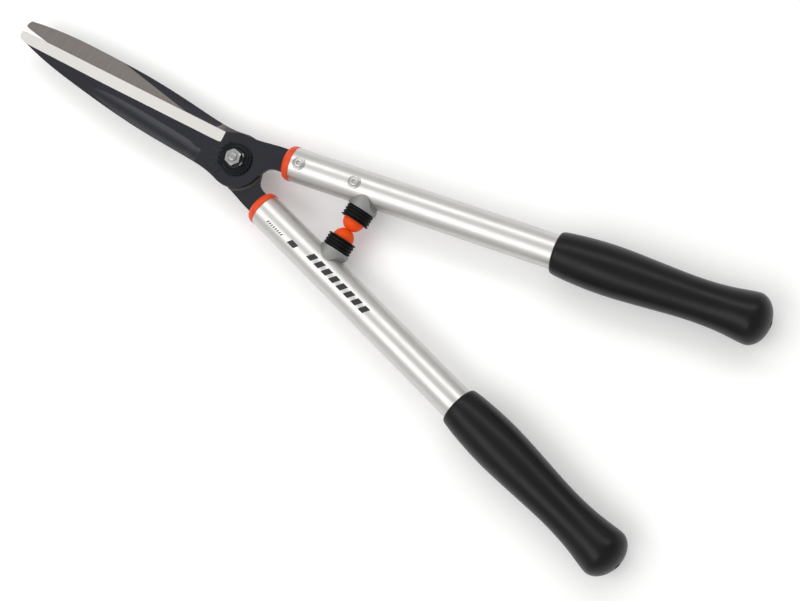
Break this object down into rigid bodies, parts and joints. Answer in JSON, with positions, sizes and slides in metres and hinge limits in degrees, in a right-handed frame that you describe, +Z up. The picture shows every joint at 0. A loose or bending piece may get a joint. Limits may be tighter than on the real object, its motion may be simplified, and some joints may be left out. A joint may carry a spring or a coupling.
{
  "type": "hedge shears",
  "caption": "Long-handled hedge shears: crossed forged blades on an adjustable pivot, aluminium tube handles with rubber grips and sprung buffers.",
  "frame": {"origin": "centre of the footprint, on the surface that the grips lie on", "axes": "+X to the blade tips, +Z up along the pivot bolt towards its nut, shears lying flat and closed"},
  "size_m": [0.7064, 0.269, 0.045],
  "materials": {
    "blade_lacquer": "satin blue-black lacquer, ground bright on the bevel",
    "anodised_tube": "satin anodised",
    "orange_collar": "satin moulded",
    "zinc_steel": "bright zinc plate",
    "grip_rubber": "satin moulded",
    "cast_boss": "fine cast, matt",
    "ribbed_rubber": "matt",
    "orange_buffer": "smooth satin",
    "pad_rubber": "matt",
    "bearing_bronze": "turned",
    "spring_steel": "phosphated",
    "cover_black": "satin black lacquer"
  },
  "bodies": {
    "lower_half": {"lower_blade": "blade_lacquer", "lower_tube": "anodised_tube", "lower_collar": "orange_collar", "lower_tang_screws": "zinc_steel", "lower_grip": "grip_rubber", "lower_boss": "cast_boss", "lower_cup": "ribbed_rubber", "lower_pad": "pad_rubber", "lower_boss_screw": "zinc_steel", "pivot_bolt": "zinc_steel", "pivot_nut": "zinc_steel", "lock_washer": "zinc_steel", "disc_spring": "spring_steel", "pivot_cover": "cover_black"},
    "upper_half": {"upper_blade": "blade_lacquer", "upper_tube": "anodised_tube", "upper_collar": "orange_collar", "upper_tang_screws": "zinc_steel", "upper_grip": "grip_rubber", "upper_boss": "cast_boss", "upper_cup": "ribbed_rubber", "upper_pad": "pad_rubber", "upper_boss_screw": "zinc_steel", "pivot_bush": "bearing_bronze"},
    "lower_buffer": {"lower_ball": "orange_buffer"},
    "upper_buffer": {"upper_ball": "orange_buffer"}
  },
  "joints": [
    {"name": "pivot", "type": "hinge", "parent": "lower_half", "child": "upper_half", "pos_m": [0.11356, 0, 0.0225], "axis": [0, 0, 1], "range_deg": [0, 90]},
    {"name": "upper_buffer_press", "type": "slide", "parent": "upper_half", "child": "upper_buffer", "axis": [0, -1, 0], "range_m": [0, 0.002], "stiffness_N_per_m": 2000, "deforming": ["upper_pad"]},
    {"name": "lower_buffer_press", "type": "slide", "parent": "lower_half", "child": "lower_buffer", "axis": [0, 1, 0], "range_m": [0, 0.002], "stiffness_N_per_m": 2000, "deforming": ["lower_pad"]}
  ]
}
